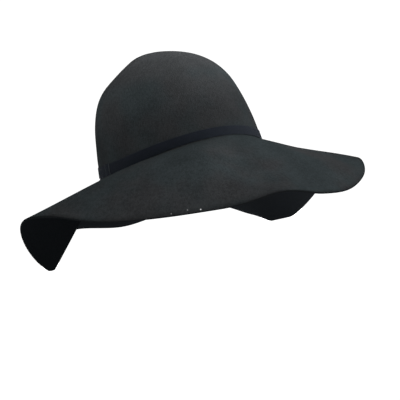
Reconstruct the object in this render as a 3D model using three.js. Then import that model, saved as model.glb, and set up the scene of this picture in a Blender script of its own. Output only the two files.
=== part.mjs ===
// A round-crowned, wide-brimmed floppy felt hat with a narrow ribbon band, resting on its brim.
//
// Crown and brim are one blocked piece of felt. Its outer side is worked out first: the crown is
// lofted through level sections above an oval head opening, and the brim leaves that oval and
// bends down by an angle that changes around the hat, which makes the folds. The inner side lies
// one felt thickness below it. Millimetres, +Z up, floor at z = 0, front of the hat toward -Y.

import * as THREE from 'three';

// Head opening: an oval, measured on the outer side of the felt where the crown meets the brim.
const OPENING_HALF_LENGTH = 102;
const OPENING_HALF_WIDTH = 84;
const OPENING_CENTRE_X = 6.2;
const OPENING_CENTRE_Y = -7.6;
const OPENING_HEIGHT = 93;

// The lean at which the hat settles on its folds, in degrees.
const LEAN_ABOUT_X = 1;
const LEAN_ABOUT_Y = 0.2;

// The edge of the opening waves twice around the hat. The wave dies out this high up the crown.
const OPENING_WAVE_STRAIGHT = 4.5;
const OPENING_WAVE_SKEW = -5.5;
const OPENING_WAVE_FADE = 60;

const FELT_THICKNESS = 2;
const BRIM_WIDTH = 117;

// Ribbon band: it starts just above the brim and is measured up the crown.
const BAND_START = 0.8;
const BAND_WIDTH = 11;
const BAND_THICKNESS = 0.6;
const PIECE_GAP = 0.3;

// Keeper: the short folded end of ribbon that covers the band's joint.
const KEEPER_AZIMUTH = 252;
const KEEPER_WIDTH = 9;
const KEEPER_OVERHANG = 0.6;

// Brim folds. Azimuth is in degrees from the front toward +X. Root and tip are the angles below
// level, in degrees, at which the brim leaves the crown and at which it ends.
const BRIM_FOLDS = [
  { azimuth: 0, root: 42, tip: 39 },
  { azimuth: 18, root: 24, tip: 54 },
  { azimuth: 36, root: 16, tip: 39 },
  { azimuth: 54, root: 12, tip: 20 },
  { azimuth: 72, root: 22, tip: 23 },
  { azimuth: 90, root: 38, tip: 63 },
  { azimuth: 108, root: 38, tip: 47 },
  { azimuth: 126, root: 34, tip: 27 },
  { azimuth: 144, root: 35, tip: 27 },
  { azimuth: 162, root: 33, tip: 37 },
  { azimuth: 180, root: 25, tip: 33 },
  { azimuth: 198, root: 29, tip: 30 },
  { azimuth: 216, root: 46, tip: 52 },
  { azimuth: 234, root: 51, tip: 43 },
  { azimuth: 252, root: 21, tip: 14 },
  { azimuth: 270, root: 9, tip: 26 },
  { azimuth: 288, root: 4, tip: 55 },
  { azimuth: 306, root: 10, tip: 63 },
  { azimuth: 324, root: 15, tip: 66 },
  { azimuth: 342, root: 48, tip: 25 },
];

// Crown sections, from the opening to the top. Reach is the section's size against the opening's,
// and back is how far its centre lies behind the opening's.
const CROWN_SECTIONS = [
  { height: 0, reach: 1, back: 0 },
  { height: 28, reach: 0.965, back: 1.5 },
  { height: 56, reach: 0.9, back: 4 },
  { height: 80, reach: 0.795, back: 4.5 },
  { height: 100, reach: 0.595, back: 2 },
  { height: 114, reach: 0.355, back: 5 },
  { height: 123, reach: 0, back: 15 },
];

// Soft shoulders that the blocking leaves on one side of the crown, with a straighter stretch
// between them. Distance is measured up the felt from the opening, and push is level and outward.
const CROWN_SHOULDERS = [
  { azimuth: 232, distance: 98, push: 1.4 },
  { azimuth: 240, distance: 147, push: 1.8 },
];
const SHOULDER_SPREAD_UP = 13;
const SHOULDER_SPREAD_AROUND = 40;

// How finely the surfaces are divided.
const STEPS_AROUND = 72;
const CROWN_ROWS = 13;
const BRIM_ROWS = 9;
const KEEPER_STEPS = 4;

// Felt this near to the floor, above or below it, is eased onto the floor.
const FLOOR_SOFTNESS = 1.5;

// Step for slopes, in millimetres and in radians.
const SMALL_STEP = 0.001;

const FULL_TURN = 2 * Math.PI;
const MEAN_RADIUS = (OPENING_HALF_LENGTH + OPENING_HALF_WIDTH) / 2;
const toRadians = THREE.MathUtils.degToRad;
const toDegrees = THREE.MathUtils.radToDeg;

// A smooth curve through points, as a function. Its slope at each point is that of the parabola
// through the point and its two neighbours. At both ends the parabola of the last stretch gives it:
// half as much again of the end chord, less half the slope at the next point.
function smoothCurve(xs, ys) {
  const last = xs.length - 1;
  const chord = (i) => (ys[i + 1] - ys[i]) / (xs[i + 1] - xs[i]);
  const slopes = xs.map((x, i) => {
    if (i === 0 || i === last) return 0;
    const before = x - xs[i - 1];
    const after = xs[i + 1] - x;
    return (before * chord(i) + after * chord(i - 1)) / (before + after);
  });
  slopes[0] = chord(0) + (chord(0) - slopes[1]) / 2;
  slopes[last] = chord(last - 1) + (chord(last - 1) - slopes[last - 1]) / 2;

  return (x) => {
    let i = 0;
    while (i < last - 1 && x > xs[i + 1]) i += 1;
    const span = xs[i + 1] - xs[i];
    const t = (x - xs[i]) / span;
    const rest = 1 - t;
    const ends = ys[i] * (1 + 2 * t) * rest * rest + ys[i + 1] * (3 - 2 * t) * t * t;
    return ends + span * t * rest * (slopes[i] * rest - slopes[i + 1] * t);
  };
}

// One column of the fold table as a smooth curve of azimuth that closes on itself.
function foldCurve(column) {
  const turns = [-360, 0, 360];
  const xs = turns.flatMap((turn) => BRIM_FOLDS.map((fold) => fold.azimuth + turn));
  const ys = turns.flatMap(() => BRIM_FOLDS.map((fold) => fold[column]));
  return smoothCurve(xs, ys);
}

const rootAngle = foldCurve('root');
const tipAngle = foldCurve('tip');

// The crown's profile as curves of the distance up the felt. The row below the top is repeated on
// the far side of it, so that the profile crosses the top level and unbroken.
function crownProfile() {
  const beyond = CROWN_SECTIONS[CROWN_SECTIONS.length - 2];
  const rows = [...CROWN_SECTIONS, { ...beyond, reach: -beyond.reach }];
  const distances = [0];
  for (let i = 1; i < rows.length; i += 1) {
    const inward = (rows[i].reach - rows[i - 1].reach) * MEAN_RADIUS;
    const upward = rows[i].height - rows[i - 1].height;
    distances.push(distances[i - 1] + Math.hypot(inward, upward));
  }
  return {
    length: distances[CROWN_SECTIONS.length - 1],
    reach: smoothCurve(distances, rows.map((row) => row.reach)),
    height: smoothCurve(distances, rows.map((row) => row.height)),
    back: smoothCurve(distances, rows.map((row) => row.back)),
  };
}

const crown = crownProfile();

// Height of the opening's edge above its middle plane, at an azimuth in radians.
function openingWave(azimuth) {
  return OPENING_WAVE_STRAIGHT * Math.cos(2 * azimuth) + OPENING_WAVE_SKEW * Math.sin(2 * azimuth);
}

// How far the shoulders push the crown out, each as a bell around its middle.
function shoulderPush(azimuth, distance) {
  return CROWN_SHOULDERS.reduce((sum, shoulder) => {
    const turned = THREE.MathUtils.euclideanModulo(toDegrees(azimuth) - shoulder.azimuth + 180, 360) - 180;
    const around = turned / SHOULDER_SPREAD_AROUND;
    const up = (distance - shoulder.distance) / SHOULDER_SPREAD_UP;
    return sum + shoulder.push * Math.exp(-around * around - up * up);
  }, 0);
}

// Point of the crown's outer side, at a distance up the felt from the opening.
function crownPoint(azimuth, distance) {
  const reach = crown.reach(distance) + shoulderPush(azimuth, distance) / MEAN_RADIUS;
  const height = crown.height(distance);
  const wave = openingWave(azimuth) * Math.max(0, 1 - height / OPENING_WAVE_FADE);
  return new THREE.Vector3(
    OPENING_HALF_WIDTH * Math.sin(azimuth) * reach,
    -OPENING_HALF_LENGTH * Math.cos(azimuth) * reach + crown.back(distance),
    height + wave,
  );
}

// Level direction straight out from the oval.
function outward(azimuth) {
  return new THREE.Vector3(
    Math.sin(azimuth) / OPENING_HALF_WIDTH,
    -Math.cos(azimuth) / OPENING_HALF_LENGTH,
    0,
  ).normalize();
}

// Point of the brim's outer side, at a share of the brim's width. The felt's slope turns evenly
// from root to tip, so each radial line of the brim is an arc of a circle.
function brimPoint(azimuth, share) {
  const degrees = toDegrees(azimuth);
  const root = toRadians(rootAngle(degrees));
  const turn = toRadians(tipAngle(degrees)) - root;
  const halfTurn = (turn * share) / 2;
  const chordShare = halfTurn === 0 ? 1 : Math.sin(halfTurn) / halfTurn;
  const chordLength = BRIM_WIDTH * share * chordShare;
  const chordAngle = root + halfTurn;
  return crownPoint(azimuth, 0)
    .addScaledVector(outward(azimuth), chordLength * Math.cos(chordAngle))
    .add(new THREE.Vector3(0, 0, -chordLength * Math.sin(chordAngle)));
}

const lean = new THREE.Matrix4()
  .makeRotationY(toRadians(LEAN_ABOUT_Y))
  .multiply(new THREE.Matrix4().makeRotationX(toRadians(LEAN_ABOUT_X)));
const stand = new THREE.Matrix4()
  .makeTranslation(OPENING_CENTRE_X, OPENING_CENTRE_Y, OPENING_HEIGHT)
  .multiply(lean);

// Height at which felt comes to lie when it would sink to z. It flattens onto the floor.
function onFloor(z) {
  if (z > FLOOR_SOFTNESS) return z;
  if (z < -FLOOR_SOFTNESS) return 0;
  return (z + FLOOR_SOFTNESS) ** 2 / (4 * FLOOR_SOFTNESS);
}

function meshFrom(name, points, triangles, material) {
  const geometry = new THREE.BufferGeometry().setFromPoints(points);
  geometry.setIndex(triangles);
  geometry.computeVertexNormals();
  const mesh = new THREE.Mesh(geometry, material);
  mesh.name = name;
  return mesh;
}

// Two triangles between rows a and b of a grid, over columns i and j. The side from which a, b, i
// and j run anticlockwise is the outer one.
function quad(a, b, i, j) {
  return [a + i, b + i, b + j, a + i, b + j, a + j];
}

// Points of the outer side: the top, then rings down the crown and out along the brim.
function feltOuterPoints() {
  const points = [crownPoint(0, crown.length)];
  const ring = (pointAt) => {
    for (let i = 0; i < STEPS_AROUND; i += 1) points.push(pointAt((FULL_TURN * i) / STEPS_AROUND));
  };
  for (let row = 1; row <= CROWN_ROWS; row += 1) {
    ring((azimuth) => crownPoint(azimuth, crown.length * (1 - row / CROWN_ROWS)));
  }
  for (let row = 1; row <= BRIM_ROWS; row += 1) {
    ring((azimuth) => brimPoint(azimuth, row / BRIM_ROWS));
  }
  return points.map((point) => point.applyMatrix4(stand));
}

// Triangles of one side: a fan around the top, then bands between the rings.
function feltSideTriangles() {
  const triangles = [];
  for (let i = 0; i < STEPS_AROUND; i += 1) {
    const j = (i + 1) % STEPS_AROUND;
    triangles.push(0, 1 + i, 1 + j);
    for (let row = 0; row < CROWN_ROWS + BRIM_ROWS - 1; row += 1) {
      const start = 1 + row * STEPS_AROUND;
      triangles.push(...quad(start, start + STEPS_AROUND, i, j));
    }
  }
  return triangles;
}

// The felt: outer side, inner side one thickness behind it, and the cut edge that joins them.
function makeFeltBody() {
  const outer = feltOuterPoints();
  const side = feltSideTriangles();
  const sheet = new THREE.BufferGeometry().setFromPoints(outer);
  sheet.setIndex(side);
  sheet.computeVertexNormals();
  const normals = sheet.getAttribute('normal');

  const inner = outer.map((point, i) => {
    const normal = new THREE.Vector3().fromBufferAttribute(normals, i);
    return point.clone().addScaledVector(normal, -FELT_THICKNESS);
  });
  inner.forEach((point, i) => {
    const lift = onFloor(point.z) - point.z;
    point.z += lift;
    outer[i].z += lift;
  });

  const turnedOver = [];
  for (let i = 0; i < side.length; i += 3) {
    turnedOver.push(...[side[i], side[i + 2], side[i + 1]].map((index) => index + outer.length));
  }
  const edge = [];
  const outerEdge = outer.length - STEPS_AROUND;
  const innerEdge = 2 * outer.length - STEPS_AROUND;
  for (let i = 0; i < STEPS_AROUND; i += 1) {
    edge.push(...quad(outerEdge, innerEdge, i, (i + 1) % STEPS_AROUND));
  }
  return meshFrom('felt_body', [...outer, ...inner], [...side, ...turnedOver, ...edge], feltFinish);
}

// Outward normal of the crown's outer side near the opening, from two small steps on it.
function crownNormal(azimuth, distance) {
  const around = crownPoint(azimuth + SMALL_STEP, distance).sub(crownPoint(azimuth, distance));
  const up = crownPoint(azimuth, distance + SMALL_STEP).sub(crownPoint(azimuth, distance));
  return around.cross(up).normalize();
}

// The four corners of a ribbon's cross-section at one azimuth: outer foot, outer top, inner top
// and inner foot. Clearance is the ribbon's distance from the felt.
function ribbonSection(azimuth, start, end, clearance) {
  const corner = (distance, offset) => crownPoint(azimuth, distance)
    .addScaledVector(crownNormal(azimuth, distance), offset)
    .applyMatrix4(stand);
  return [
    corner(start, clearance + BAND_THICKNESS),
    corner(end, clearance + BAND_THICKNESS),
    corner(end, clearance),
    corner(start, clearance),
  ];
}

// Triangles between two neighbouring four-cornered sections of a ribbon.
function ribbonTriangles(section, next) {
  return [0, 1, 2, 3].flatMap((corner) => quad(section * 4, next * 4, corner, (corner + 1) % 4));
}

function makeHatBand() {
  const points = [];
  const triangles = [];
  for (let i = 0; i < STEPS_AROUND; i += 1) {
    const azimuth = (FULL_TURN * i) / STEPS_AROUND;
    points.push(...ribbonSection(azimuth, BAND_START, BAND_START + BAND_WIDTH, PIECE_GAP));
    triangles.push(...ribbonTriangles(i, (i + 1) % STEPS_AROUND));
  }
  return meshFrom('hat_band', points, triangles, ribbonFinish);
}

function makeBandKeeper() {
  const middle = toRadians(KEEPER_AZIMUTH);
  const radius = crownPoint(middle, BAND_START).setZ(0).length();
  const halfAngle = KEEPER_WIDTH / 2 / radius;
  const clearance = PIECE_GAP + BAND_THICKNESS + PIECE_GAP;
  const start = BAND_START;
  const end = BAND_START + BAND_WIDTH + KEEPER_OVERHANG;
  const points = [];
  const triangles = [];
  for (let i = 0; i <= KEEPER_STEPS; i += 1) {
    const azimuth = middle + halfAngle * ((2 * i) / KEEPER_STEPS - 1);
    points.push(...ribbonSection(azimuth, start, end, clearance));
    if (i > 0) triangles.push(...ribbonTriangles(i - 1, i));
  }
  const last = 4 * KEEPER_STEPS;
  triangles.push(0, 1, 2, 0, 2, 3);
  triangles.push(last, last + 2, last + 1, last, last + 3, last + 2);
  return meshFrom('band_keeper', points, triangles, ribbonFinish);
}

const feltFinish = new THREE.MeshStandardMaterial({ color: 0x2f3536, roughness: 0.95, metalness: 0 });
const ribbonFinish = new THREE.MeshStandardMaterial({ color: 0x1c1f27, roughness: 0.8, metalness: 0 });

const hat = new THREE.Group();
hat.add(makeFeltBody(), makeHatBand(), makeBandKeeper());

export default hat;
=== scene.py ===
"""Dresses a wide-brimmed, round-crowned felt hat with a narrow ribbon band.

The hat stands on the floor on the folds of its own brim. Every shape is worked out in millimetres
as whole numpy arrays and put into its mesh in metres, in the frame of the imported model.
"""

import logging
import math
from dataclasses import dataclass, field
from enum import Enum
from typing import Any, Union

import bpy
import numpy as np
from mathutils import Matrix, Vector


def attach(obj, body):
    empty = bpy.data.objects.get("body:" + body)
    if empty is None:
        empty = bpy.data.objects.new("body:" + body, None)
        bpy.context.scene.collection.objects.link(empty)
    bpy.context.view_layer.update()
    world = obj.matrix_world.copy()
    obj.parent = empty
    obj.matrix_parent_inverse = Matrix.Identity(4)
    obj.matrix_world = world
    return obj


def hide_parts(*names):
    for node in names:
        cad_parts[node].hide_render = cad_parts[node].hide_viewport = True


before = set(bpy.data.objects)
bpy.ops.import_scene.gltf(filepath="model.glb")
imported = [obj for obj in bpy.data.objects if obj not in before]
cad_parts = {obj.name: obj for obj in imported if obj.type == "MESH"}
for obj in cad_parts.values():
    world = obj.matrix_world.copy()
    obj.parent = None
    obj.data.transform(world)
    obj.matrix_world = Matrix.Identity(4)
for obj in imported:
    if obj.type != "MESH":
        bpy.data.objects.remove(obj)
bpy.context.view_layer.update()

LOG = logging.getLogger("hat")
BODY = "root"
METRES = 0.001
FULL_TURN = 2.0 * math.pi

Array = np.ndarray
Colour = tuple[float, float, float]
Direction = tuple[float, float, float]
Span = tuple[float, float]


class Side(Enum):
    """Which side of the felt a row of points belongs to, as kept in the mesh's attribute."""

    OUTER = 0.0
    EDGE = 0.5
    INNER = 1.0


class Slot(Enum):
    """The record's material slots."""

    FELT = "felt"
    RIBBON = "ribbon"


class SmoothCurve:
    """A smooth curve through points.

    Between two points it is a cubic whose slope at each point is that of the parabola through the
    point and its two neighbours. The parabolas of the first and last stretch give the end slopes.
    """

    def __init__(self, xs: Array, ys: Array) -> None:
        """Work out the slopes.

        Args:
            xs: Rising positions of the points.
            ys: Values at those positions.
        """
        self.xs = np.asarray(xs, float)
        self.ys = np.asarray(ys, float)
        step = np.diff(self.xs)
        chord = np.diff(self.ys) / step
        slopes = np.empty_like(self.ys)
        slopes[1:-1] = (step[:-1] * chord[1:] + step[1:] * chord[:-1]) / (step[:-1] + step[1:])
        slopes[0] = chord[0] + (chord[0] - slopes[1]) / 2.0
        slopes[-1] = chord[-1] + (chord[-1] - slopes[-2]) / 2.0
        self.slopes = slopes

    def __call__(self, x: Array) -> Array:
        """Evaluate the curve.

        Args:
            x: Positions to evaluate at.

        Returns:
            The curve's values, with the shape of x.
        """
        x = np.asarray(x, float)
        i = np.clip(np.searchsorted(self.xs, x, side="left") - 1, 0, len(self.xs) - 2)
        span = self.xs[i + 1] - self.xs[i]
        t = (x - self.xs[i]) / span
        rest = 1.0 - t
        ends = self.ys[i] * (1.0 + 2.0 * t) * rest**2 + self.ys[i + 1] * (3.0 - 2.0 * t) * t**2
        return ends + span * t * rest * (self.slopes[i] * rest - self.slopes[i + 1] * t)


@dataclass(frozen=True)
class BrimFold:
    """One row of the brim: how steeply it leaves the crown and how steeply it ends.

    Attributes:
        azimuth: Degrees from the front toward the wearer's left.
        root: Angle below level at the crown, in degrees.
        tip: Angle below level at the edge, in degrees.
    """

    azimuth: float
    root: float
    tip: float


@dataclass(frozen=True)
class CrownSection:
    """One level section of the crown.

    Attributes:
        height: Height above the head opening, in millimetres.
        reach: Size against the head opening.
        back: How far its centre lies behind the opening's, in millimetres.
    """

    height: float
    reach: float
    back: float


@dataclass(frozen=True)
class Shoulder:
    """A soft shoulder that the blocking leaves on one side of the crown.

    Attributes:
        azimuth: Degrees from the front toward the wearer's left.
        distance: Distance of its middle up the felt from the opening, in millimetres.
        push: How far it stands out, level, in millimetres.
    """

    azimuth: float
    distance: float
    push: float


@dataclass(frozen=True)
class Ripple:
    """A slight unevenness of hand-blocked felt, or of the ribbon's lie.

    Attributes:
        lobes: Waves around the hat.
        pitch: Length of one wave along the felt, in millimetres, or infinite if it has none.
        height: Height of the wave, in millimetres.
        phase: Where the wave starts, in radians.
    """

    lobes: int
    pitch: float
    height: float
    phase: float


@dataclass(frozen=True)
class PaintedLightStep:
    """Painted light and shade at one distance from the crown's top.

    Attributes:
        travel: Distance along the felt from the crown's top, in millimetres.
        tone: Factor on the felt's own colour, above one for painted light and below one for painted
            shade.
    """

    travel: float
    tone: float


@dataclass(frozen=True)
class Speck:
    """A speck of pale lint that clings to the brim.

    Attributes:
        place: Its place on the hat, in millimetres.
        radius: Its radius, in millimetres.
        strength: How fully it covers the felt.
    """

    place: tuple[float, float, float]
    radius: float
    strength: float


@dataclass(frozen=True)
class Lamp:
    """A far, wide and soft light.

    Attributes:
        name: Name of the light, as seen from the photograph's place.
        strength: Its strength.
        source: Direction that it comes from.
    """

    name: str
    strength: float
    source: Direction


# The brim's folds, round the hat from its front toward the wearer's left
BRIM_FOLDS = (
    BrimFold(azimuth=0, root=42, tip=39),
    BrimFold(azimuth=18, root=24, tip=54),
    BrimFold(azimuth=36, root=16, tip=39),
    BrimFold(azimuth=54, root=12, tip=20),
    BrimFold(azimuth=72, root=22, tip=23),
    BrimFold(azimuth=90, root=38, tip=63),
    BrimFold(azimuth=108, root=38, tip=47),
    BrimFold(azimuth=126, root=34, tip=27),
    BrimFold(azimuth=144, root=35, tip=27),
    BrimFold(azimuth=162, root=33, tip=37),
    BrimFold(azimuth=180, root=25, tip=33),
    BrimFold(azimuth=198, root=29, tip=30),
    BrimFold(azimuth=216, root=46, tip=52),
    BrimFold(azimuth=234, root=51, tip=43),
    BrimFold(azimuth=252, root=21, tip=14),
    BrimFold(azimuth=270, root=9, tip=26),
    BrimFold(azimuth=288, root=4, tip=55),
    BrimFold(azimuth=306, root=10, tip=63),
    BrimFold(azimuth=324, root=15, tip=66),
    BrimFold(azimuth=342, root=48, tip=25),
)

# The crown from the head opening up to its top
CROWN_SECTIONS = (
    CrownSection(height=0, reach=1.0, back=0),
    CrownSection(height=28, reach=0.965, back=1.5),
    CrownSection(height=56, reach=0.9, back=4),
    CrownSection(height=80, reach=0.795, back=4.5),
    CrownSection(height=100, reach=0.595, back=2),
    CrownSection(height=114, reach=0.355, back=5),
    CrownSection(height=123, reach=0.0, back=15),
)

# The shoulders below and above the crown's flat place
CROWN_SHOULDERS = (
    Shoulder(azimuth=232, distance=98, push=1.4),
    Shoulder(azimuth=240, distance=147, push=1.8),
)

RIPPLES = (
    Ripple(lobes=5, pitch=210.0, height=0.2, phase=0.4),
    Ripple(lobes=8, pitch=120.0, height=0.12, phase=2.1),
    Ripple(lobes=13, pitch=75.0, height=0.07, phase=4.0),
)

# Painted light and shade by distance from the crown's top: paler at the top, darker toward the
# crown's foot and over the brim, darkest at the brim's edge
PAINTED_LIGHT_BY_TRAVEL = (
    PaintedLightStep(travel=0, tone=1.6),
    PaintedLightStep(travel=42, tone=1.8),
    PaintedLightStep(travel=60, tone=1.5),
    PaintedLightStep(travel=77, tone=1.28),
    PaintedLightStep(travel=102, tone=1.0),
    PaintedLightStep(travel=137, tone=0.67),
    PaintedLightStep(travel=172, tone=0.76),
    PaintedLightStep(travel=190, tone=0.84),
    PaintedLightStep(travel=212, tone=0.84),
    PaintedLightStep(travel=252, tone=0.78),
    PaintedLightStep(travel=278, tone=0.72),
    PaintedLightStep(travel=283, tone=0.71),
    PaintedLightStep(travel=288, tone=0.4),
)

SPECKS = (
    Speck(place=(-113.2, -139.8, 27.1), radius=0.9, strength=1.0),
    Speck(place=(-121.7, -130.8, 29.4), radius=0.8, strength=0.3),
    Speck(place=(-133.0, -119.8, 29.4), radius=0.8, strength=0.3),
)

LAMPS = (
    Lamp("high_beside", 3.4, (0.7, -0.7, 1.0)),
    Lamp("low_beside", 3.65, (0.7, -0.7, 0.2)),
    Lamp("low_before", 1.7, (-1.0, 0.0, 0.2)),
    Lamp("overhead", 1.2, (0.25, 0.25, 1.0)),
)


@dataclass
class HatForm:
    """The hat's outer form: an oval head opening, a lofted crown above and a bent brim around it.

    Lengths are in millimetres. Azimuths are in radians from the front toward the wearer's left.
    """

    half_length: float = 102.0
    half_width: float = 84.0
    centre: tuple[float, float, float] = (6.2, -7.6, 93.0)
    lean: tuple[float, float] = (1.0, 0.2)
    wave: tuple[float, float] = (4.5, -5.5)
    wave_fade: float = 60.0
    shoulder_spread_up: float = 13.0
    shoulder_spread_around: float = 40.0
    brim_width: float = 117.0
    floor_softness: float = 1.5
    mean_radius: float = field(init=False)
    crown_length: float = field(init=False)

    def __post_init__(self) -> None:
        """Make the curves of the folds and of the crown's profile."""
        turns = (-360.0, 0.0, 360.0)
        azimuths = np.array([fold.azimuth + turn for turn in turns for fold in BRIM_FOLDS])
        roots = np.array([fold.root for fold in BRIM_FOLDS])
        tips = np.array([fold.tip for fold in BRIM_FOLDS])
        self._root = SmoothCurve(azimuths, np.tile(roots, len(turns)))
        self._tip = SmoothCurve(azimuths, np.tile(tips, len(turns)))

        self.mean_radius = (self.half_length + self.half_width) / 2.0
        beyond = CROWN_SECTIONS[-2]
        rows = [*CROWN_SECTIONS, CrownSection(beyond.height, -beyond.reach, beyond.back)]
        reach = np.array([row.reach for row in rows])
        height = np.array([row.height for row in rows], float)
        back = np.array([row.back for row in rows], float)
        steps = np.hypot(np.diff(reach) * self.mean_radius, np.diff(height))
        distance = np.concatenate([[0.0], np.cumsum(steps)])
        self.crown_length = float(distance[-2])
        self._reach = SmoothCurve(distance, reach)
        self._height = SmoothCurve(distance, height)
        self._back = SmoothCurve(distance, back)

    def shoulder_push(self, azimuth: Array, distance: Array) -> Array:
        """How far the shoulders push the crown out, each as a bell around its middle.

        Args:
            azimuth: Azimuths, any shape.
            distance: Distances up the felt from the opening, of the same shape.

        Returns:
            Pushes of the same shape.
        """
        push = np.zeros_like(distance, float)
        for shoulder in CROWN_SHOULDERS:
            turned = (np.degrees(azimuth) - shoulder.azimuth + 180.0) % 360.0 - 180.0
            around = turned / self.shoulder_spread_around
            up = (distance - shoulder.distance) / self.shoulder_spread_up
            push += shoulder.push * np.exp(-(around**2) - up**2)
        return push

    def crown(self, azimuth: Array, distance: Array) -> Array:
        """Points of the crown's outer side, before the hat is stood on the floor.

        A level section is the opening's oval times the reach, moved back. The wave of the
        opening's edge, a cosine and a sine of twice the azimuth, dies out up the crown.

        Args:
            azimuth: Azimuths, any shape.
            distance: Distances up the felt from the opening, of the same shape.

        Returns:
            Points, with a last axis of three.
        """
        reach = self._reach(distance) + self.shoulder_push(azimuth, distance) / self.mean_radius
        height = self._height(distance)
        fade = np.clip(1.0 - height / self.wave_fade, 0.0, None)
        straight, skew = self.wave
        lift = (straight * np.cos(2.0 * azimuth) + skew * np.sin(2.0 * azimuth)) * fade
        x = self.half_width * np.sin(azimuth) * reach
        y = -self.half_length * np.cos(azimuth) * reach + self._back(distance)
        return np.stack([x, y, height + lift], axis=-1)

    def brim(self, azimuth: Array, reach: Array) -> Array:
        """Points of the brim's outer side, before the hat is stood on the floor.

        Each radial line leaves the oval square to it. Its slope turns evenly from root to tip, so
        it is an arc: the chord's angle is the mean of the end slopes, and the chord's length is
        the arc's times the sine of the half turn over the half turn.

        Args:
            azimuth: Azimuths, any shape.
            reach: Distances out along the felt from the opening, of the same shape.

        Returns:
            Points, with a last axis of three.
        """
        degrees = np.degrees(azimuth) % 360.0
        root = np.radians(self._root(degrees))
        turn = np.radians(self._tip(degrees)) - root
        half_turn = 0.5 * turn * reach / self.brim_width
        chord = reach * np.sinc(half_turn / math.pi)
        slope = root + half_turn
        out_x = np.sin(azimuth) / self.half_width
        out_y = -np.cos(azimuth) / self.half_length
        scale = chord * np.cos(slope) / np.hypot(out_x, out_y)
        step = np.stack([out_x * scale, out_y * scale, -chord * np.sin(slope)], axis=-1)
        return self.crown(azimuth, np.zeros_like(azimuth)) + step

    def stand(self, points: Array) -> Array:
        """Lean the hat as it rests and lift it to its height.

        Args:
            points: Points with a last axis of three.

        Returns:
            The moved points.
        """
        about_x, about_y = (math.radians(angle) for angle in self.lean)
        turn = Matrix.Rotation(about_y, 3, "Y") @ Matrix.Rotation(about_x, 3, "X")
        return points @ np.array(turn).T + np.array(self.centre)

    def settle(self, height: Array) -> Array:
        """Height at which felt comes to lie when it would sink to the given height.

        It is the height itself above the floor and zero below it, with a parabola between.

        Args:
            height: Free heights.

        Returns:
            Heights that are nowhere below the floor.
        """
        soft = self.floor_softness
        blend = (np.clip(height, -soft, soft) + soft) ** 2 / (4.0 * soft)
        return np.where(height > soft, height, blend)


def unit(vectors: Array) -> Array:
    """Vectors of length one along the given ones.

    Args:
        vectors: Vectors with a last axis of three.

    Returns:
        Vectors of the same shape.
    """
    return vectors / np.linalg.norm(vectors, axis=-1, keepdims=True)


def grid_normals(points: Array) -> Array:
    """Unit normals of a grid that closes along its second axis.

    Each is the cross product of the step down the rows and the step around, which points outward
    when rows run from the top of the crown to the brim's edge.

    Args:
        points: Grid of points, rows by columns by three.

    Returns:
        Normals of the same shape.
    """
    around = np.roll(points, -1, axis=1) - np.roll(points, 1, axis=1)
    down = np.gradient(points, axis=0)
    return unit(np.cross(down, around))


def smooth_rows(values: Array, passes: int, strength: Array) -> Array:
    """Even out a grid along its rows.

    Each pass moves a row toward the mean of its two neighbours by its strength.

    Args:
        values: Grid, rows first.
        passes: How often to repeat.
        strength: One share for each row.

    Returns:
        The smoothed grid.
    """
    weight = strength[:, None, None]
    for _ in range(passes):
        mean = values.copy()
        mean[1:-1] = 0.5 * (values[:-2] + values[2:])
        values = values + weight * (mean - values)
    return values


def ring_faces(rows: int, columns: int) -> Array:
    """Faces between the rows of a grid that closes along its second axis.

    Args:
        rows: Number of rows.
        columns: Number of columns.

    Returns:
        One row of four vertex numbers for each face, facing outward when rows run downward.
    """
    here = np.arange(rows * columns).reshape(rows, columns)
    beside = np.roll(here, -1, axis=1)
    return np.stack([here[:-1], here[1:], beside[1:], beside[:-1]], axis=-1).reshape(-1, 4)


def make_mesh(name: str, points: Array, faces: list[Array], smooth: bool = True) -> bpy.types.Object:
    """Put a surface into a new mesh object.

    Args:
        name: Name of the piece.
        points: Vertices in millimetres.
        faces: Arrays of faces, each array with one number of corners.
        smooth: Whether the faces are shaded smooth.

    Returns:
        The object, linked to the scene.
    """
    mesh = bpy.data.meshes.new(name)
    corners = np.concatenate([block.ravel() for block in faces])
    sizes = np.concatenate([np.full(len(block), block.shape[1]) for block in faces])
    mesh.vertices.add(len(points))
    mesh.vertices.foreach_set("co", (points * METRES).astype(np.float32).ravel())
    mesh.loops.add(len(corners))
    mesh.loops.foreach_set("vertex_index", corners)
    mesh.polygons.add(len(sizes))
    mesh.polygons.foreach_set("loop_start", np.concatenate([[0], np.cumsum(sizes)[:-1]]))
    mesh.polygons.foreach_set("use_smooth", np.full(len(sizes), smooth))
    mesh.update(calc_edges=True)
    mesh.validate()
    piece = bpy.data.objects.new(name, mesh)
    bpy.context.scene.collection.objects.link(piece)
    return piece


def point_attribute(piece: bpy.types.Object, name: str, values: Array) -> None:
    """Keep one number for each vertex in the mesh.

    Args:
        piece: The piece.
        name: Name of the attribute.
        values: One value for each vertex.
    """
    layer = piece.data.attributes.new(name, "FLOAT", "POINT")
    layer.data.foreach_set("value", np.asarray(values, np.float32).ravel())


def lay_uv(piece: bpy.types.Object, name: str, u: Array, v: Array, period: float) -> None:
    """Keep a flat layout of the surface in a UV map.

    Args:
        piece: The piece.
        name: Name of the map.
        u: Place around the hat, one for each vertex.
        v: Place along the felt or ribbon, one for each vertex.
        period: Length of one full turn in u, which faces across the seam add.
    """
    mesh = piece.data
    corners = np.empty(len(mesh.loops), np.int32)
    mesh.loops.foreach_get("vertex_index", corners)
    sizes = np.empty(len(mesh.polygons), np.int32)
    mesh.polygons.foreach_get("loop_total", sizes)
    owner = np.repeat(np.arange(len(sizes)), sizes)
    place = u[corners]
    highest = np.full(len(sizes), -np.inf)
    np.maximum.at(highest, owner, place)
    place = np.where(highest[owner] - place > 0.5 * period, place + period, place)
    layer = mesh.uv_layers.new(name=name)
    layer.data.foreach_set("uv", np.stack([place, v[corners]], axis=-1).astype(np.float32).ravel())


Value = Union[float, "Wire"]


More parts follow.
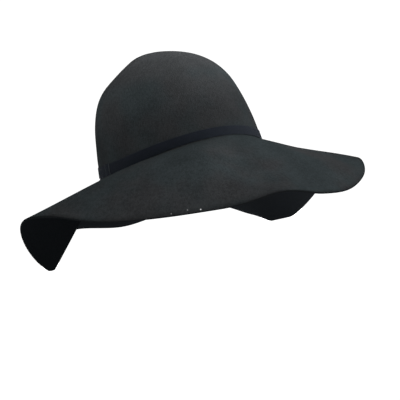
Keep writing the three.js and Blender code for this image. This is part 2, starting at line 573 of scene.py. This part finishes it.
class Wire:
    """A shader value that Python arithmetic can be written on."""

    def __init__(self, bench: "Bench", socket: bpy.types.NodeSocket) -> None:
        """Hold a socket.

        Args:
            bench: The material that is being made.
            socket: The output socket.
        """
        self.bench = bench
        self.socket = socket

    def _math(self, operation: str, first: Value, second: Value) -> "Wire":
        """Add a Math node.

        Args:
            operation: The node's operation.
            first: First operand.
            second: Second operand.

        Returns:
            The result.
        """
        node = self.bench.node("ShaderNodeMath", {"operation": operation}, {0: first, 1: second})
        return Wire(self.bench, node.outputs[0])

    def __add__(self, other: Value) -> "Wire":
        """Sum."""
        return self._math("ADD", self, other)

    def __radd__(self, other: Value) -> "Wire":
        """Sum with the wire on the right."""
        return self._math("ADD", other, self)

    def __sub__(self, other: Value) -> "Wire":
        """Difference."""
        return self._math("SUBTRACT", self, other)

    def __rsub__(self, other: Value) -> "Wire":
        """Difference with the wire on the right."""
        return self._math("SUBTRACT", other, self)

    def __mul__(self, other: Value) -> "Wire":
        """Product."""
        return self._math("MULTIPLY", self, other)

    def __rmul__(self, other: Value) -> "Wire":
        """Product with the wire on the right."""
        return self._math("MULTIPLY", other, self)

    def ramp(self, low: float, high: float) -> "Wire":
        """Smooth step.

        Args:
            low: Value that gives 0.
            high: Value that gives 1.

        Returns:
            The share, eased at both ends.
        """
        settings = {"interpolation_type": "SMOOTHSTEP"}
        node = self.bench.node("ShaderNodeMapRange", settings, {0: self, 1: low, 2: high})
        return Wire(self.bench, node.outputs[0])


class Bench:
    """One material and the nodes that are added to it."""

    def __init__(self, name: str) -> None:
        """Start a material that holds only its surface shader.

        Args:
            name: Name of the material.
        """
        self.material = bpy.data.materials.new(name)
        self.material.use_nodes = True
        self.nodes = self.material.node_tree.nodes
        self.links = self.material.node_tree.links
        self.shader = self.nodes["Principled BSDF"]

    def plug(self, socket: bpy.types.NodeSocket, value: Any) -> None:
        """Set or link one input socket.

        Args:
            socket: The input.
            value: A wire, an output socket, a number or a tuple.
        """
        if isinstance(value, Wire):
            value = value.socket
        if isinstance(value, bpy.types.NodeSocket):
            self.links.new(value, socket)
        elif socket.type == "RGBA" and len(value) == 3:
            socket.default_value = (*value, 1.0)
        else:
            socket.default_value = value

    def node(self, kind: str, settings: dict[str, Any], inputs: dict[Any, Any]) -> bpy.types.Node:
        """Add any node.

        Args:
            kind: The node's type.
            settings: Its own properties, set first.
            inputs: Values or links of its sockets, by name or number.

        Returns:
            The node.
        """
        node = self.nodes.new(kind)
        for key, value in settings.items():
            setattr(node, key, value)
        for key, value in inputs.items():
            self.plug(node.inputs[key], value)
        return node

    def finish(self, values: dict[str, Any]) -> None:
        """Set or link sockets of the surface shader.

        Args:
            values: Values or links, by the sockets' names.
        """
        for key, value in values.items():
            self.plug(self.shader.inputs[key], value)

    def object_place(self) -> bpy.types.NodeSocket:
        """The point on the piece, in metres."""
        return self.node("ShaderNodeTexCoord", {}, {}).outputs["Object"]

    def uv_place(self, name: str, stretch: tuple[float, float]) -> bpy.types.NodeSocket:
        """A point of a UV map, stretched.

        Args:
            name: Name of the map.
            stretch: Factors along u and v.

        Returns:
            The place.
        """
        uv = self.node("ShaderNodeUVMap", {"uv_map": name}, {}).outputs["UV"]
        scale = (stretch[0], stretch[1], 1.0)
        return self.node("ShaderNodeMapping", {}, {"Vector": uv, "Scale": scale}).outputs["Vector"]

    def attribute(self, name: str) -> Wire:
        """A number that is kept in the mesh.

        Args:
            name: Name of the attribute.

        Returns:
            The value.
        """
        node = self.node("ShaderNodeAttribute", {"attribute_name": name}, {})
        return Wire(self, node.outputs["Fac"])

    def noise(self, place: Any, scale: float, detail: float = 2.0, roughness: float = 0.5) -> Wire:
        """Fractal noise from 0 to 1.

        Args:
            place: Where it is read.
            scale: Lumps for each unit of place.
            detail: Number of finer layers.
            roughness: Weight of the finer layers.

        Returns:
            The value.
        """
        inputs = {"Vector": place, "Scale": scale, "Detail": detail, "Roughness": roughness}
        return Wire(self, self.node("ShaderNodeTexNoise", {}, inputs).outputs["Fac"])

    def spot(self, place: Any, centre: tuple[float, float, float], radius: float) -> Wire:
        """A soft round spot, 1 within half its radius and 0 outside it.

        Args:
            place: Where it is read, in metres.
            centre: Its middle, in millimetres.
            radius: Its radius, in millimetres.

        Returns:
            The share.
        """
        middle = tuple(value * METRES for value in centre)
        node = self.node("ShaderNodeVectorMath", {"operation": "DISTANCE"}, {0: place, 1: middle})
        apart = Wire(self, node.outputs["Value"])
        return 1.0 - apart.ramp(0.5 * radius * METRES, radius * METRES)

    def mix(self, share: Value, first: Any, second: Any) -> bpy.types.NodeSocket:
        """Blend two colours.

        Args:
            share: Weight of the second.
            first: Colour at 0.
            second: Colour at 1.

        Returns:
            The blended colour.
        """
        node = self.node("ShaderNodeMix", {"data_type": "RGBA"}, {"Factor": share})
        self.plug(node.inputs[6], first)
        self.plug(node.inputs[7], second)
        return node.outputs[2]

    def scale(self, tint: bpy.types.NodeSocket, factor: Wire) -> bpy.types.NodeSocket:
        """Make a colour lighter or darker.

        Args:
            tint: The colour.
            factor: What each of its channels is multiplied by.

        Returns:
            The scaled colour.
        """
        inputs = {"Vector": tint, "Scale": factor}
        return self.node("ShaderNodeVectorMath", {"operation": "SCALE"}, inputs).outputs["Vector"]

    def relief(self, height: Wire, depth: float) -> None:
        """Raise the surface with a Bump node into the shader's Normal.

        Args:
            height: Height from 0 to 1.
            depth: Depth in metres.
        """
        bump = self.node("ShaderNodeBump", {}, {"Height": height, "Distance": depth})
        self.finish({"Normal": bump.outputs["Normal"]})


@dataclass(frozen=True)
class FeltFinish:
    """Charcoal wool felt with a brushed nap outside and a plain side inside, darkened with painted
    shade.

    Counts are lumps for each metre, depths are in metres. Each share is the weight of one noise,
    and each span is where a smooth step begins and ends.
    """

    slot: Slot = Slot.FELT
    shade: Colour = (0.0179, 0.0189, 0.0198)
    pale: Colour = (0.0292, 0.0308, 0.0323)
    cool_shade: Colour = (0.0156, 0.0194, 0.0206)
    cool_pale: Colour = (0.0254, 0.0313, 0.0334)
    # Painted shade: the inner side is darker because it lies in shade
    inner: Colour = (0.0051, 0.0059, 0.0068)
    # Painted shade along the cut edge, which faces down into shade
    painted_edge_shade: Colour = (0.004, 0.0045, 0.005)
    lint: Colour = (0.4, 0.4, 0.4)
    nap_counts: tuple[float, float] = (560.0, 240.0)
    fibre_count: float = 1000.0
    cloud_count: float = 40.0
    tint_count: float = 18.0
    nap_share: float = 0.3
    fibre_share: float = 0.5
    cloud_share: float = 0.2
    mottle_span: Span = (0.38, 0.62)
    tint_span: Span = (0.35, 0.6)
    # Span of the painted light over which a painted highlight turns the charcoal neutral
    painted_highlight_span: Span = (1.05, 1.35)
    inner_span: Span = (0.55, 0.95)
    cut_start: Span = (0.05, 0.25)
    cut_end: Span = (0.75, 0.95)
    relief_fibre: float = 0.6
    relief_depth: float = 0.0005
    roughness: float = 0.95

    def build(self) -> bpy.types.Material:
        """Make the material.

        Fine and coarse noise mottle the shade, noise that is slightly stretched along the felt gives
        the brushed nap, and slow noise turns the charcoal from neutral to cool, except where the
        painted light is strong, where a painted highlight keeps it neutral. The side kept in the
        mesh turns it to the painted shade of the inner side and of the cut edge, and the painted
        light and shade kept there make the outer and the inner side paler or darker.

        Returns:
            The material.
        """
        bench = Bench("brushed_wool_felt")
        place = bench.object_place()
        nap = bench.noise(bench.uv_place("felt_flow", self.nap_counts), 1.0, 3.0, 0.6)
        fibre = bench.noise(place, self.fibre_count, 3.0, 0.65)
        cloud = bench.noise(place, self.cloud_count)
        mottle = self.nap_share * nap + self.fibre_share * fibre + self.cloud_share * cloud
        mottle = mottle.ramp(*self.mottle_span)
        # Painted light and shade kept in the mesh for each point
        tone = bench.attribute("tone")
        tint = bench.noise(place, self.tint_count).ramp(*self.tint_span)
        # Painted highlight: neutral charcoal where the painted light is strong
        tint = tint * (1.0 - tone.ramp(*self.painted_highlight_span))
        neutral = bench.mix(mottle, self.shade, self.pale)
        cool = bench.mix(mottle, self.cool_shade, self.cool_pale)
        base = bench.mix(tint, neutral, cool)

        side = bench.attribute("side")
        # Painted shade: the inner side's darker colour
        base = bench.mix(side.ramp(*self.inner_span), base, self.inner)
        # Painted light and shade scale the colour
        base = bench.scale(base, tone)
        # Painted shade along the cut edge
        painted_edge_shade = side.ramp(*self.cut_start) * (1.0 - side.ramp(*self.cut_end))
        base = bench.mix(painted_edge_shade, base, self.painted_edge_shade)
        for speck in SPECKS:
            spot = bench.spot(place, speck.place, speck.radius)
            base = bench.mix(spot * speck.strength, base, self.lint)

        bench.finish({"Base Color": base, "Roughness": self.roughness, "Specular IOR Level": 0.0})
        relief = self.relief_fibre * fibre + (1.0 - self.relief_fibre) * nap
        bench.relief(relief, self.relief_depth)
        return bench.material


@dataclass(frozen=True)
class RibbonFinish:
    """Near-black ribbon with fine ribs across it and a paler painted highlight along its edges.

    The pitch and the depth are in metres, and the count is lumps for each metre.
    """

    slot: Slot = Slot.RIBBON
    shade: Colour = (0.0043, 0.0058, 0.0086)
    pale: Colour = (0.0082, 0.0105, 0.0148)
    # Painted highlight along the ribbon's edges
    edge_highlight: Colour = (0.034, 0.039, 0.043)
    rib_pitch: float = 0.0009
    rib_distortion: float = 0.4
    yarn_count: float = 1400.0
    rib_share: float = 0.5
    shade_span: Span = (0.2, 0.9)
    relief_rib: float = 0.7
    relief_depth: float = 0.0002
    roughness: float = 0.85
    specular: float = 0.05

    def build(self) -> bpy.types.Material:
        """Make the material.

        A wave along the ribbon gives the ribs, and noise varies the yarn's shade. A Wave texture
        of scale pi / 10 has one band for each unit of place.

        Returns:
            The material.
        """
        bench = Bench("ribbed_ribbon")
        flow = bench.uv_place("ribbon_flow", (1.0 / self.rib_pitch, 1.0 / self.rib_pitch))
        inputs = {"Vector": flow, "Scale": math.pi / 10.0, "Detail": 1.0}
        inputs["Distortion"] = self.rib_distortion
        wave = bench.node("ShaderNodeTexWave", {"bands_direction": "X"}, inputs)
        ribs = Wire(bench, wave.outputs["Fac"])
        yarn = bench.noise(bench.object_place(), self.yarn_count, 2.0, 0.6)
        weave = self.rib_share * ribs + (1.0 - self.rib_share) * yarn
        base = bench.mix(weave.ramp(*self.shade_span), self.shade, self.pale)
        # Painted highlight along the edges, by the share kept in the mesh
        base = bench.mix(bench.attribute("edge_highlight"), base, self.edge_highlight)
        bench.finish({"Base Color": base, "Roughness": self.roughness})
        bench.finish({"Specular IOR Level": self.specular})
        bench.relief(self.relief_rib * ribs + (1.0 - self.relief_rib) * yarn, self.relief_depth)
        return bench.material


Finish = Union[FeltFinish, RibbonFinish]


def dress(piece: bpy.types.Object, finish: Finish, node: str) -> bpy.types.Object:
    """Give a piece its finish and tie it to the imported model.

    Args:
        piece: The piece.
        finish: Its finish.
        node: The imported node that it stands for.

    Returns:
        The piece.
    """
    piece.data.materials.append(finish.build())
    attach(piece, BODY)
    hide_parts(node)
    return piece


@dataclass
class FeltBody:
    """Crown and brim: one shell of felt with a soft cut edge.

    Lengths are in millimetres. The crowding is how much rows crowd together at the opening. The
    inner light azimuth is the azimuth, in degrees, toward which the inner side gets painted light,
    paler by the contrast, with painted shade, darker, on the far side.
    """

    form: HatForm
    finish: FeltFinish = FeltFinish()
    thickness: float = 2.0
    columns: int = 300
    crown_rows: int = 66
    brim_rows: int = 58
    crown_crowding: float = 0.2
    brim_crowding: float = 0.3
    edge_rows: int = 5
    edge_bulge: float = 0.5
    corner_reach: float = 6.0
    corner_passes: int = 10
    corner_pull: float = 0.7
    ripple_start: float = 50.0
    ripple_gap: float = 22.0
    # Painted light and shade on the inner side, by azimuth
    inner_light_azimuth: float = 95.0
    inner_light_contrast: float = 0.45

    def outer_side(self) -> tuple[Array, Array]:
        """Work out the outer side before ripples.

        Rows run from just below the crown's top down to the opening and out to the brim's edge.
        They crowd together toward the opening, by a share of the square of an even count.

        Returns:
            The grid of points and, for each row, the distance from the crown's top.
        """
        azimuth = self.azimuths()
        up = np.linspace(1.0, 0.0, self.crown_rows + 1)[1:]
        up = self.form.crown_length * self.crowded(up, self.crown_crowding)
        out = np.linspace(0.0, 1.0, self.brim_rows + 1)[1:]
        out = self.form.brim_width * self.crowded(out, self.brim_crowding)
        crown = self.form.crown(*np.meshgrid(azimuth, up))
        brim = self.form.brim(*np.meshgrid(azimuth, out))
        travel = np.concatenate([self.form.crown_length - up, self.form.crown_length + out])
        return np.concatenate([crown, brim]), travel

    @staticmethod
    def crowded(even: Array, share: float) -> Array:
        """Mix an even count from 0 to 1 with its square."""
        return (1.0 - share) * even + share * even**2

    def azimuths(self) -> Array:
        """Azimuths of the columns, in radians."""
        return FULL_TURN * np.arange(self.columns) / self.columns

    def ripple(self, travel: Array) -> Array:
        """Unevenness of the felt, as an offset along its normal.

        Each ripple is a cosine of its lobes times the azimuth plus the travel over its pitch. The
        sum grows from the crown's top and dies out at the head opening, where the band sits.

        Args:
            travel: Distance from the crown's top for each row.

        Returns:
            Offsets, rows by columns.
        """
        turn, along = np.meshgrid(self.azimuths(), travel)
        total = np.zeros_like(turn)
        for wave in RIPPLES:
            angle = wave.lobes * turn + FULL_TURN * along / wave.pitch + wave.phase
            total += wave.height * np.cos(angle)
        grown = np.clip(along / self.ripple_start, 0.0, 1.0)
        away = 1.0 - np.exp(-(((along - self.form.crown_length) / self.ripple_gap) ** 2))
        return total * grown * away

    def sides(self) -> tuple[Array, Array, Array]:
        """Work out both sides as they stand on the floor.

        The inner side is the outer one moved in by the thickness along its normals, which are
        evened out across the head opening so that it turns there in a soft roll. Both sides are
        lifted together where the inner one would sink below the floor.

        Returns:
            The outer grid, the inner grid and the distance from the crown's top for each row.
        """
        outer, travel = self.outer_side()
        outer = outer + self.ripple(travel)[..., None] * grid_normals(outer)
        near = np.exp(-(((travel - self.form.crown_length) / self.corner_reach) ** 2))
        normals = unit(smooth_rows(grid_normals(outer), self.corner_passes, near))
        inner = outer - self.thickness * normals
        inner = smooth_rows(inner, self.corner_passes, self.corner_pull * near)

        outer, inner = self.form.stand(outer), self.form.stand(inner)
        lift = self.form.settle(inner[..., 2]) - inner[..., 2]
        outer[..., 2] += lift
        inner[..., 2] += lift
        return outer, inner, travel

    def cut_edge(self, outer: Array, inner: Array) -> Array:
        """Rows of the cut edge, from the outer side to the inner one with a half-round bulge.

        Args:
            outer: The outer grid.
            inner: The inner grid.

        Returns:
            The rows between them.
        """
        outward = unit(outer[-1] - outer[-2])
        across = np.linspace(0.0, 1.0, self.edge_rows + 2)[1:-1]
        bulge = self.edge_bulge * np.sqrt(1.0 - (2.0 * across - 1.0) ** 2)
        edge = outer[-1] + across[:, None, None] * (inner[-1] - outer[-1])
        return edge + bulge[:, None, None] * outward

    def build(self) -> bpy.types.Object:
        """Make the felt: outer side, cut edge and inner side in one grid, and a fan at each top.

        Returns:
            The piece.
        """
        outer, inner, travel = self.sides()
        grid = np.concatenate([outer, self.cut_edge(outer, inner), inner[::-1]])
        rows = len(grid)
        peak = self.form.stand(self.form.crown(np.zeros(1), np.full(1, self.form.crown_length)))[0]
        tops = np.stack([outer[0].mean(axis=0), inner[0].mean(axis=0)])
        tops[:, 2] = peak[2] - np.array([0.0, self.thickness])
        points = np.concatenate([grid.reshape(-1, 3), tops])

        here = np.arange(self.columns)
        beside = np.roll(here, -1)
        hub = np.full_like(here, rows * self.columns)
        last_row = (rows - 1) * self.columns
        outer_fan = np.stack([hub, here, beside], axis=-1)
        inner_fan = np.stack([hub + 1, last_row + beside, last_row + here], axis=-1)
        faces = [ring_faces(rows, self.columns), outer_fan, inner_fan]
        piece = make_mesh("felt_crown_and_brim", points, faces)
        self.mark(piece, travel)
        return dress(piece, self.finish, "felt_body")

    def mark(self, piece: bpy.types.Object, travel: Array) -> None:
        """Keep each point's side and painted light in the mesh, and lay the felt's flow out flat.

        The outer side's painted light and shade follow the table by distance from the crown's top.
        The inner side's is one plus the contrast times the cosine of the azimuth from the inner
        light azimuth, painted light on one side and painted shade on the other.

        Args:
            piece: The felt.
            travel: Distance from the crown's top for each row of one side.
        """
        edge = np.full(self.edge_rows, travel[-1])
        along = np.concatenate([travel, edge, travel[::-1]])
        parts = ((Side.OUTER, len(travel)), (Side.EDGE, self.edge_rows), (Side.INNER, len(travel)))
        side = np.concatenate([np.full(count, part.value) for part, count in parts])
        tops = (Side.OUTER.value, Side.INNER.value)
        point_attribute(piece, "side", np.append(np.repeat(side, self.columns), tops))

        # Painted light and shade on the outer side, from the table by distance from the crown's top
        rows = np.array([(row.travel, row.tone) for row in PAINTED_LIGHT_BY_TRAVEL])
        painted_by_travel = SmoothCurve(rows[:, 0], rows[:, 1])
        # Painted light on the inner side toward the inner light azimuth, painted shade away from it
        inner_light = 1.0 + self.inner_light_contrast * np.cos(self.azimuths() - math.radians(self.inner_light_azimuth))
        outer = np.repeat(painted_by_travel(along[: -len(travel)]), self.columns)
        inner = np.tile(inner_light, len(travel))
        point_attribute(piece, "tone", np.concatenate([outer, inner, painted_by_travel(np.zeros(1)), np.ones(1)]))

        girth = FULL_TURN * self.form.mean_radius * METRES
        u = np.tile(girth * np.arange(self.columns) / self.columns, len(along))
        v = np.repeat(along * METRES, self.columns)
        lay_uv(piece, "felt_flow", np.append(u, [0.0, 0.0]), np.append(v, [0.0, 0.0]), girth)


@dataclass
class Ribbon:
    """The band: a flat ribbon with rounded edges that follows the foot of the crown.

    Lengths are in millimetres. The edge highlight strength is how much of the painted highlight
    along the edges shows.
    """

    form: HatForm
    finish: RibbonFinish = RibbonFinish()
    name: str = "ribbon_band"
    node: str = "hat_band"
    start: float = 0.8
    width: float = 11.0
    thickness: float = 0.6
    clearance: float = 0.15
    columns: int = 360
    flat_points: int = 17
    arc_points: int = 7
    slope_step: float = 1e-3
    wavers: tuple[Ripple, ...] = (
        Ripple(lobes=3, pitch=math.inf, height=0.12, phase=1.0),
        Ripple(lobes=7, pitch=math.inf, height=0.08, phase=2.0),
    )
    # Painted highlight along the ribbon's long edges
    edge_highlight_width: float = 0.8
    edge_highlight_strength: float = 0.1

    def section(self) -> Array:
        """The ribbon's cross-section: a flat bar with half-round edges.

        Returns:
            Pairs of distance up the crown and offset from the middle of the ribbon's thickness,
            which run up the outer face, over the top edge and down the inner face.
        """
        half = 0.5 * self.thickness
        arc = np.linspace(-0.5 * math.pi, 0.5 * math.pi, self.arc_points)
        flat = np.linspace(self.start + half, self.start + self.width - half, self.flat_points)
        top = np.stack([flat[-1] + half * np.cos(arc[::-1]), half * np.sin(arc[::-1])], axis=-1)
        foot = np.stack([flat[0] - half * np.cos(arc), half * np.sin(arc)], axis=-1)
        front = np.stack([flat, np.full_like(flat, half)], axis=-1)[1:-1]
        back = np.stack([flat[::-1], np.full_like(flat, -half)], axis=-1)[1:-1]
        return np.concatenate([front, top, back, foot])

    def across(self, distance: Array) -> Array:
        """Place across the ribbon, from -1 at its foot to 1 at its top edge.

        Args:
            distance: Distances up the crown.

        Returns:
            The places.
        """
        return (2.0 * (distance - self.start) - self.width) / self.width

    def turns(self) -> Array:
        """Azimuths of the ribbon's columns, in radians."""
        return FULL_TURN * np.arange(self.columns) / self.columns

    def route(self, turn: Array, up: Array) -> tuple[Array, Array, Array]:
        """Where the ribbon's own coordinates lie on the crown.

        The band wavers a little up and down, by cosines of the wavers' lobes times the azimuth.

        Args:
            turn: Azimuths of the columns.
            up: Distances up the ribbon.

        Returns:
            Azimuths, distances up the crown and clearances of the ribbon's inner side.
        """
        shift = sum(wave.height * np.cos(wave.lobes * turn + wave.phase) for wave in self.wavers)
        return turn, up + shift, np.full_like(up, self.clearance)

    def surface(self) -> tuple[Array, Array, Array]:
        """Work out the ribbon's surface.

        Each section point lies at its distance up the crown, moved out along the crown's normal
        by its offset and the clearance.

        Returns:
            The grid of points, the azimuths and the distances up the ribbon.
        """
        section = self.section()
        turn, up = np.meshgrid(self.turns(), section[:, 0])
        azimuth, distance, clearance = self.route(turn, up)
        foot = self.form.crown(azimuth, distance)
        around = self.form.crown(azimuth + self.slope_step, distance) - foot
        upward = self.form.crown(azimuth, distance + self.slope_step) - foot
        offset = section[:, 1][:, None] + 0.5 * self.thickness + clearance
        points = foot + offset[..., None] * unit(np.cross(around, upward))
        return self.form.stand(points), turn, up

    def faces(self, rows: int, columns: int) -> list[Array]:
        """Faces of a tube that closes both along and across the ribbon.

        Args:
            rows: Points of the section.
            columns: Number of sections.

        Returns:
            Arrays of faces.
        """
        here = np.arange(rows * columns).reshape(rows, columns)
        above = np.roll(here, -1, axis=0)
        beside, above_beside = np.roll(here, -1, axis=1), np.roll(above, -1, axis=1)
        return [np.stack([here, beside, above_beside, above], axis=-1).reshape(-1, 4)]

    def edge_highlight_share(self, turn: Array, up: Array) -> Array:
        """How much painted highlight a point gets along the ribbon's two long edges.

        Args:
            turn: Azimuths.
            up: Distances up the ribbon.

        Returns:
            Shares from 0 to 1.
        """
        inside = 0.5 * self.width * (1.0 - np.abs(self.across(up)))
        return np.clip(1.0 - inside / self.edge_highlight_width, 0.0, 1.0)

    def build(self) -> bpy.types.Object:
        """Make the ribbon.

        Returns:
            The piece.
        """
        points, turn, up = self.surface()
        piece = make_mesh(self.name, points.reshape(-1, 3), self.faces(*turn.shape))
        # Painted highlight along the edges, kept in the mesh
        point_attribute(piece, "edge_highlight", self.edge_highlight_strength * self.edge_highlight_share(turn, up))
        radius = self.form.mean_radius * METRES
        u, v = (turn * radius).ravel(), (up * METRES).ravel()
        lay_uv(piece, "ribbon_flow", u, v, FULL_TURN * radius)
        return dress(piece, self.finish, self.node)


@dataclass
class Keeper(Ribbon):
    """The keeper: a short loop of the same ribbon around the band's joint.

    Its middle is an azimuth in degrees, and the waist is how much narrower it is there.
    """

    name: str = "ribbon_keeper"
    node: str = "band_keeper"
    width: float = 11.6
    columns: int = 25
    middle: float = 252.0
    length: float = 9.0
    waist: float = 0.14
    # Full painted highlight along the keeper's sides
    edge_highlight_strength: float = 1.0
    band_cover: float = 0.75
    roundness: float = 10.0

    def turns(self) -> Array:
        """Azimuths of the keeper's columns, in radians."""
        half = 0.5 * self.length / self.form.half_width
        return math.radians(self.middle) + np.linspace(-half, half, self.columns)

    def route(self, turn: Array, up: Array) -> tuple[Array, Array, Array]:
        """Draw the keeper in at its waist and bend it over the band's edges to the felt.

        The waist fades with the square of the place across. The clearance is that of a rounded
        box: the square root of one less a high power of the place across.

        Args:
            turn: Azimuths of the columns.
            up: Distances up the ribbon.

        Returns:
            Azimuths, distances up the crown and clearances of the keeper's inner side.
        """
        across = np.clip(self.across(up), -1.0, 1.0)
        middle = math.radians(self.middle)
        azimuth = middle + (turn - middle) * (1.0 - self.waist * (1.0 - across**2))
        bend = np.sqrt(1.0 - np.abs(across) ** self.roundness)
        return azimuth, up, self.clearance + self.band_cover * bend

    def faces(self, rows: int, columns: int) -> list[Array]:
        """Faces of a tube that closes across the ribbon and has a cap at each end.

        Args:
            rows: Points of the section.
            columns: Number of sections.

        Returns:
            Arrays of faces.
        """
        here = np.arange(rows * columns).reshape(rows, columns)
        above = np.roll(here, -1, axis=0)
        tube = np.stack([here[:, :-1], here[:, 1:], above[:, 1:], above[:, :-1]], axis=-1)
        return [tube.reshape(-1, 4), here[:, 0][None, :], here[::-1, -1][None, :]]

    def edge_highlight_share(self, turn: Array, up: Array) -> Array:
        """How much painted highlight a point gets at the keeper's two sides, where its edges lie.

        Args:
            turn: Azimuths.
            up: Distances up the ribbon.

        Returns:
            Shares from 0 to 1.
        """
        aside = np.abs(turn - math.radians(self.middle)) * self.form.half_width
        return np.clip(1.0 - (0.5 * self.length - aside) / self.edge_highlight_width, 0.0, 1.0)


@dataclass(frozen=True)
class Camera:
    """The photograph's view.

    Lengths are in millimetres and angles in degrees. The focus is in pixels of a view that is
    400 pixels wide.
    """

    azimuth: float = -45.0
    distance: float = 1150.0
    height: float = 7.72
    focus: float = 1024.5
    yaw: float = 0.61
    pitch: float = 1.67
    roll: float = -12.6
    view_width: float = 400.0
    sensor: float = 36.0
    far_limit: float = 50.0

    def build(self, form: HatForm) -> bpy.types.Object:
        """Place the camera.

        It looks along the azimuth, level, and is then turned aside by the yaw, up by the pitch
        and about its own axis by the roll.

        Args:
            form: The hat, which gives the point that the distance is measured from.

        Returns:
            The camera.
        """
        azimuth, yaw = math.radians(self.azimuth), math.radians(self.yaw)
        pitch, roll = math.radians(self.pitch), math.radians(self.roll)
        right = np.array([math.cos(azimuth), math.sin(azimuth), 0.0])
        ahead = np.array([-math.sin(azimuth), math.cos(azimuth), 0.0])
        up = np.array([0.0, 0.0, 1.0])
        place = np.array([form.centre[0], form.centre[1], self.height]) - self.distance * ahead
        ahead, right = self.turned(ahead, right, yaw)
        ahead, up = self.turned(ahead, up, pitch)
        right, up = self.turned(right, up, roll)

        lens = bpy.data.cameras.new("photo_view")
        lens.sensor_width = self.sensor
        lens.lens = self.focus * self.sensor / self.view_width
        lens.clip_end = self.far_limit
        camera = bpy.data.objects.new("photo_view", lens)
        bpy.context.scene.collection.objects.link(camera)
        turn = Matrix(np.stack([right, up, -ahead], axis=-1).tolist()).to_4x4()
        camera.matrix_world = Matrix.Translation(Vector((place * METRES).tolist())) @ turn
        bpy.context.scene.camera = camera
        return camera

    @staticmethod
    def turned(first: Array, second: Array, angle: float) -> tuple[Array, Array]:
        """Turn two square axes in their plane, the first toward the second.

        Args:
            first: First axis.
            second: Second axis.
            angle: Angle in radians.

        Returns:
            Both axes after the turn.
        """
        cosine, sine = math.cos(angle), math.sin(angle)
        return first * cosine + second * sine, second * cosine - first * sine


@dataclass(frozen=True)
class Studio:
    """A plain pale floor under soft lamps, in white surroundings.

    Lengths are in metres. The spread is the width of a lamp in degrees.
    """

    floor_radius: float = 12.0
    floor_corners: int = 64
    floor_shade: Colour = (0.86, 0.86, 0.86)
    floor_glow: float = 1.1
    floor_roughness: float = 0.9
    lamp_spread: float = 60.0
    ambient: float = 0.0
    backdrop: float = 1.1

    def build(self) -> None:
        """Make the floor, the lamps and the surroundings."""
        self.floor()
        for lamp in LAMPS:
            self.shine(lamp)
        self.surround()
        bpy.context.scene.view_settings.view_transform = "Standard"

    def floor(self) -> None:
        """Make a round floor that glows a little, so that the hat's shadow on it stays pale."""
        turn = np.linspace(0.0, FULL_TURN, self.floor_corners, endpoint=False)
        ring = np.stack([np.cos(turn), np.sin(turn), np.zeros_like(turn)], axis=-1)
        corners = np.arange(self.floor_corners)[None, :]
        floor = make_mesh("floor", ring * self.floor_radius / METRES, [corners], smooth=False)
        bench = Bench("pale_floor")
        bench.finish({"Base Color": self.floor_shade, "Roughness": self.floor_roughness})
        bench.finish({"Specular IOR Level": 0.0, "Emission Strength": self.floor_glow})
        bench.finish({"Emission Color": (1.0, 1.0, 1.0)})
        floor.data.materials.append(bench.material)

    def shine(self, lamp: Lamp) -> None:
        """Add a lamp.

        Args:
            lamp: The lamp.
        """
        light = bpy.data.lights.new(lamp.name, "SUN")
        light.energy = lamp.strength
        light.angle = math.radians(self.lamp_spread)
        source = bpy.data.objects.new(lamp.name, light)
        source.rotation_euler = Vector(lamp.source).to_track_quat("Z", "Y").to_euler()
        bpy.context.scene.collection.objects.link(source)

    def surround(self) -> None:
        """Surround the scene with white, which lights it less than it shows."""
        world = bpy.data.worlds.new("white_room")
        world.use_nodes = True
        nodes, links = world.node_tree.nodes, world.node_tree.links
        background = nodes["Background"]
        background.inputs["Color"].default_value = (1.0, 1.0, 1.0, 1.0)
        path = nodes.new("ShaderNodeLightPath")
        level = nodes.new("ShaderNodeMapRange")
        level.inputs["To Min"].default_value = self.ambient
        level.inputs["To Max"].default_value = self.backdrop
        links.new(path.outputs["Is Camera Ray"], level.inputs["Value"])
        links.new(level.outputs["Result"], background.inputs["Strength"])
        bpy.context.scene.world = world


def main() -> None:
    """Build the camera, the hat and its surroundings in order, and report each piece."""
    logging.basicConfig(level=logging.INFO, format="%(name)s: %(message)s")
    form = HatForm()
    Camera().build(form)
    for part in (FeltBody(form), Ribbon(form), Keeper(form)):
        piece = part.build()
        LOG.info("%s: %d faces", piece.name, len(piece.data.polygons))
    Studio().build()


if __name__ == "__main__":
    main()
